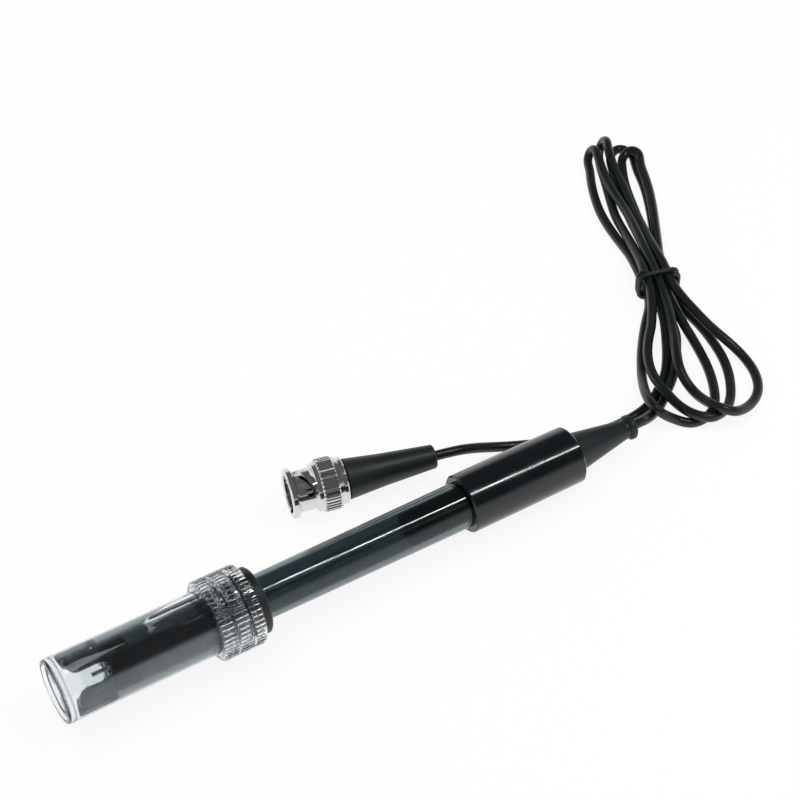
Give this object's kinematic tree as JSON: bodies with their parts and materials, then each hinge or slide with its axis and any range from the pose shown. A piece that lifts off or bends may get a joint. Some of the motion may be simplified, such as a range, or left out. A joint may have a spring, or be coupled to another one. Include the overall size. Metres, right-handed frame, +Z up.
{
  "type": "ph electrode",
  "caption": "Combination pH electrode lying with a screw-collar storage bottle on its guarded tip, a tied cable and a bayonet plug.",
  "frame": {"origin": "on the table under the middle of the electrode's length, from the closed end of the storage bottle to the end of the cable boot, cable and plug not counted", "axes": "+X runs along the electrode from the storage bottle to the cable, as it lies, +Z is up and +Y is towards the plug and the hank"},
  "size_m": [0.246, 0.122, 0.0217],
  "materials": {
    "clear_bottle": "clear, lightly wet inside",
    "clear_collar": "clear, moulded ribs",
    "seal_rubber": "satin black",
    "smoked_tube": "smoked, polished",
    "dark_plug": "satin",
    "membrane_glass": "clear",
    "porous_junction": "porous white",
    "silver_wire": "dull silver",
    "cap_plastic": "satin black",
    "boot_rubber": "matt black",
    "cable_jacket": "satin black",
    "core_insulation": "natural white",
    "tie_plastic": "satin black",
    "nickel_plate": "bright nickel plate",
    "insulator_plastic": "white",
    "gold_contact": "gold flash",
    "gasket_rubber": "matt",
    "spring_steel": "plain"
  },
  "bodies": {
    "electrode": {"body_tube": "smoked_tube", "tip_plug": "dark_plug", "glass_electrode": "membrane_glass", "reference_junction": "porous_junction", "measuring_wire": "silver_wire", "reference_wire": "silver_wire", "upper_stopper": "dark_plug", "head_cap": "cap_plastic", "cable_boot": "boot_rubber", "cable_inner_end": "cable_jacket", "cable_lead": "cable_jacket", "cable_tail": "cable_jacket", "cable_hank": "cable_jacket", "cable_plug_end": "cable_jacket", "core_wire": "core_insulation", "hank_tie": "tie_plastic", "plug_body": "nickel_plate", "plug_insulator": "insulator_plastic", "centre_pin": "gold_contact", "plug_gasket": "gasket_rubber", "spring_washer": "spring_steel", "retaining_ring": "spring_steel", "crimp_ferrule": "nickel_plate", "plug_boot": "boot_rubber"},
    "seal": {"storage_seal": "seal_rubber"},
    "collar": {"storage_collar": "clear_collar"},
    "bottle": {"storage_bottle": "clear_bottle"},
    "washer": {"thrust_washer": "spring_steel"},
    "sleeve": {"coupling_sleeve": "nickel_plate"}
  },
  "joints": [
    {"name": "cap_pull", "type": "slide", "parent": "electrode", "child": "seal", "axis": [-0.9996, 0, 0.0283], "range_m": [0, 0.055]},
    {"name": "collar_turn", "type": "hinge", "parent": "seal", "child": "collar", "pos_m": [-0.03836, 0, 0.01084], "axis": [0.9996, 0, -0.0283], "range_deg": [0, 1080]},
    {"name": "bottle_back_off", "type": "slide", "parent": "seal", "child": "bottle", "axis": [-0.9996, 0, 0.0283], "range_m": [0, 0.0076]},
    {"name": "sleeve_push", "type": "slide", "parent": "electrode", "child": "washer", "axis": [-0.9736, 0.2284, 0], "range_m": [0, 0.0005], "stiffness_N_per_m": 4000},
    {"name": "sleeve_turn", "type": "hinge", "parent": "washer", "child": "sleeve", "pos_m": [-0.0053, 0.0289, 0.00725], "axis": [-0.9736, 0.2284, 0], "continuous": true}
  ],
  "couplings": [
    {"joint": "bottle_back_off", "follows": "collar_turn", "m_per_rad": 0.00039789}
  ]
}
